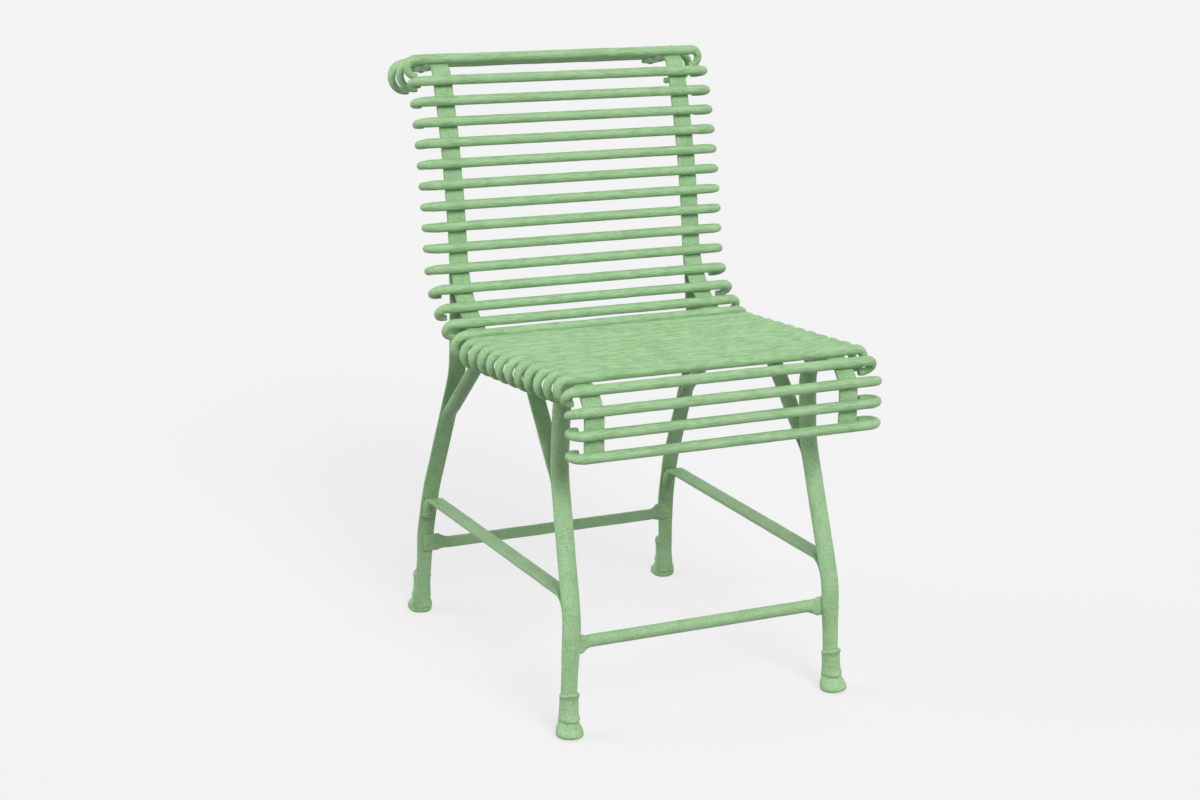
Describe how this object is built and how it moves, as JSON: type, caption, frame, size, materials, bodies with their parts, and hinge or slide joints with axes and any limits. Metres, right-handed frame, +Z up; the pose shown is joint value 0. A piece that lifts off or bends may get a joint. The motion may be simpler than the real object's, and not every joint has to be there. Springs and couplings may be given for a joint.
{
  "type": "wrought iron slatted chair",
  "caption": "Light green wrought iron garden chair with hooked round-bar slats, half-round legs and hoof feet.",
  "frame": {"origin": "on the floor, under the middle of the chair's bounding box", "axes": "+Z up, the front of the seat toward -Y, +X to the right as seen from the front"},
  "size_m": [0.4598, 0.6036, 0.814],
  "materials": {
    "painted_iron": "satin paint over forged iron"
  },
  "bodies": {
    "root": {"cross_stretcher_front": "painted_iron", "cross_stretcher_rear": "painted_iron", "foot_front_left": "painted_iron", "foot_front_right": "painted_iron", "foot_rear_left": "painted_iron", "foot_rear_right": "painted_iron", "frame_rivets_left": "painted_iron", "frame_rivets_right": "painted_iron", "leg_front_left": "painted_iron", "leg_front_right": "painted_iron", "leg_rear_left": "painted_iron", "leg_rear_right": "painted_iron", "prong_front_left": "painted_iron", "prong_front_right": "painted_iron", "prong_rear_left": "painted_iron", "prong_rear_right": "painted_iron", "side_stretcher_left": "painted_iron", "side_stretcher_right": "painted_iron", "slat_01": "painted_iron", "slat_02": "painted_iron", "slat_03": "painted_iron", "slat_04": "painted_iron", "slat_05": "painted_iron", "slat_06": "painted_iron", "slat_07": "painted_iron", "slat_08": "painted_iron", "slat_09": "painted_iron", "slat_10": "painted_iron", "slat_11": "painted_iron", "slat_12": "painted_iron", "slat_13": "painted_iron", "slat_14": "painted_iron", "slat_15": "painted_iron", "slat_16": "painted_iron", "slat_17": "painted_iron", "slat_18": "painted_iron", "slat_19": "painted_iron", "slat_20": "painted_iron", "slat_21": "painted_iron", "slat_22": "painted_iron", "slat_23": "painted_iron", "slat_24": "painted_iron", "slat_25": "painted_iron", "slat_26": "painted_iron", "slat_27": "painted_iron", "slat_28": "painted_iron", "slat_29": "painted_iron", "slat_30": "painted_iron", "slat_31": "painted_iron", "slat_32": "painted_iron", "slat_rivets_left": "painted_iron", "slat_rivets_right": "painted_iron", "strap_left": "painted_iron", "strap_right": "painted_iron", "stretcher_rivets_left": "painted_iron", "stretcher_rivets_right": "painted_iron"}
  },
  "joints": []
}
